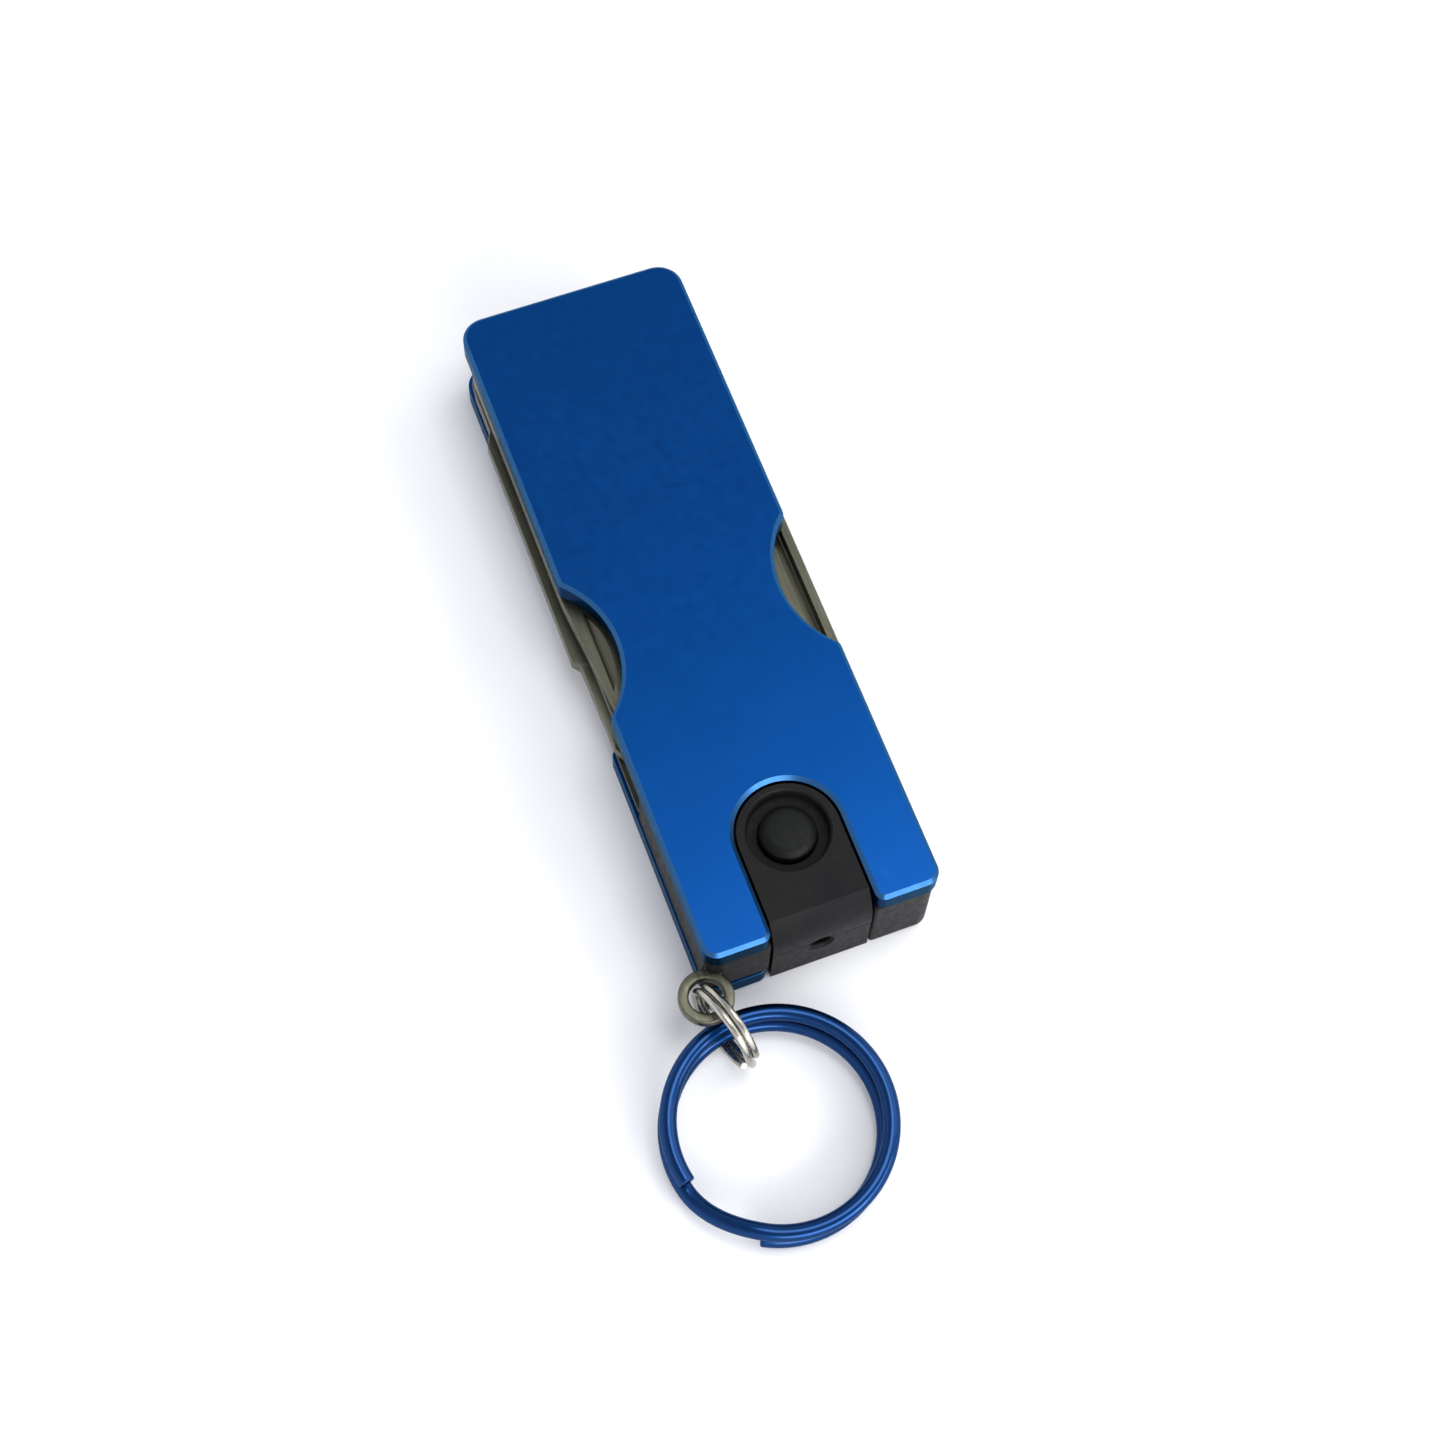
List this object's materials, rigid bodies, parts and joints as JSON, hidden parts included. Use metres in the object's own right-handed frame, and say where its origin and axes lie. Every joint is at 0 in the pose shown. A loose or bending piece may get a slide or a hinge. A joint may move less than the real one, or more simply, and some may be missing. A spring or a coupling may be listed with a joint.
{
  "type": "keychain flashlight",
  "caption": "Flat pocket tool with folding steel tools between blue scales, a push-button LED light in one end and a split key ring on a lug.",
  "frame": {"origin": "middle of the body's flat underside, between the thumb notches and the light's U cut-out", "axes": "+Y along the body towards the end the tools pivot in, away from the light and the key ring; +Z through the thickness, up from the surface it lies on; +X to the right seen from above with +Y up"},
  "size_m": [0.0313, 0.0917, 0.011],
  "materials": {
    "blue_anodised": "satin blue anodised, fine blasted grain, bright bevelled edges",
    "tool_steel": "brushed stainless, slightly warm grey",
    "bright_steel": "bright nickel",
    "blue_wire": "glossy blue-coated steel wire",
    "black_plastic": "fine moulded grain",
    "button_rubber": "satin black rubber",
    "brass_contact": "stamped sheet",
    "led_epoxy": "clear water-white epoxy"
  },
  "bodies": {
    "body": {"top_scale": "blue_anodised", "bottom_scale": "blue_anodised", "upper_liner": "tool_steel", "lower_liner": "tool_steel", "centre_plate": "tool_steel", "upper_back_spring": "tool_steel", "lower_back_spring": "tool_steel", "pivot_pin_left": "bright_steel", "pivot_pin_right": "bright_steel", "spring_pin": "bright_steel", "block_pin_left": "bright_steel", "block_pin_right": "bright_steel", "side_block_left": "black_plastic", "side_block_right": "black_plastic", "pod_upper_shell": "black_plastic", "pod_lower_shell": "black_plastic", "battery_cap": "black_plastic", "lower_contact": "brass_contact", "button_cell_lower": "bright_steel", "button_cell_upper": "bright_steel", "contact_dome": "brass_contact", "led": "led_epoxy", "led_lead_upper": "bright_steel", "led_lead_lower": "bright_steel"},
    "knife": {"knife_blade": "tool_steel"},
    "opener": {"bottle_opener": "tool_steel"},
    "file": {"nail_file": "tool_steel"},
    "driver": {"cross_driver": "tool_steel"},
    "button": {"push_button": "button_rubber"},
    "link": {"link_ring": "bright_steel"},
    "keys": {"key_ring": "blue_wire"}
  },
  "joints": [
    {"name": "knife_hinge", "type": "hinge", "parent": "body", "child": "knife", "pos_m": [-0.0067, 0.0295, 0.00705], "axis": [0, 0, -1], "range_deg": [0, 180]},
    {"name": "opener_hinge", "type": "hinge", "parent": "body", "child": "opener", "pos_m": [-0.0067, 0.0295, 0.00395], "axis": [0, 0, -1], "range_deg": [0, 180]},
    {"name": "file_hinge", "type": "hinge", "parent": "body", "child": "file", "pos_m": [0.0067, 0.0295, 0.00705], "axis": [0, 0, 1], "range_deg": [0, 180]},
    {"name": "driver_hinge", "type": "hinge", "parent": "body", "child": "driver", "pos_m": [0.0067, 0.0295, 0.00395], "axis": [0, 0, 1], "range_deg": [0, 180]},
    {"name": "button_press", "type": "slide", "parent": "body", "child": "button", "axis": [0, 0, -1], "range_m": [0, 0.0005], "stiffness_N_per_m": 600, "deforming": ["contact_dome"]},
    {"name": "link_swing", "type": "hinge", "parent": "body", "child": "link", "pos_m": [-0.01145, -0.03535, 0.0055], "axis": [0, 0, 1], "range_deg": [-105, 8]},
    {"name": "key_ring_swing", "type": "hinge", "parent": "link", "child": "keys", "pos_m": [-0.01073, -0.0378, 0.00254], "axis": [-0.9872, -0.1595, 0], "range_deg": [-90, 70]}
  ]
}
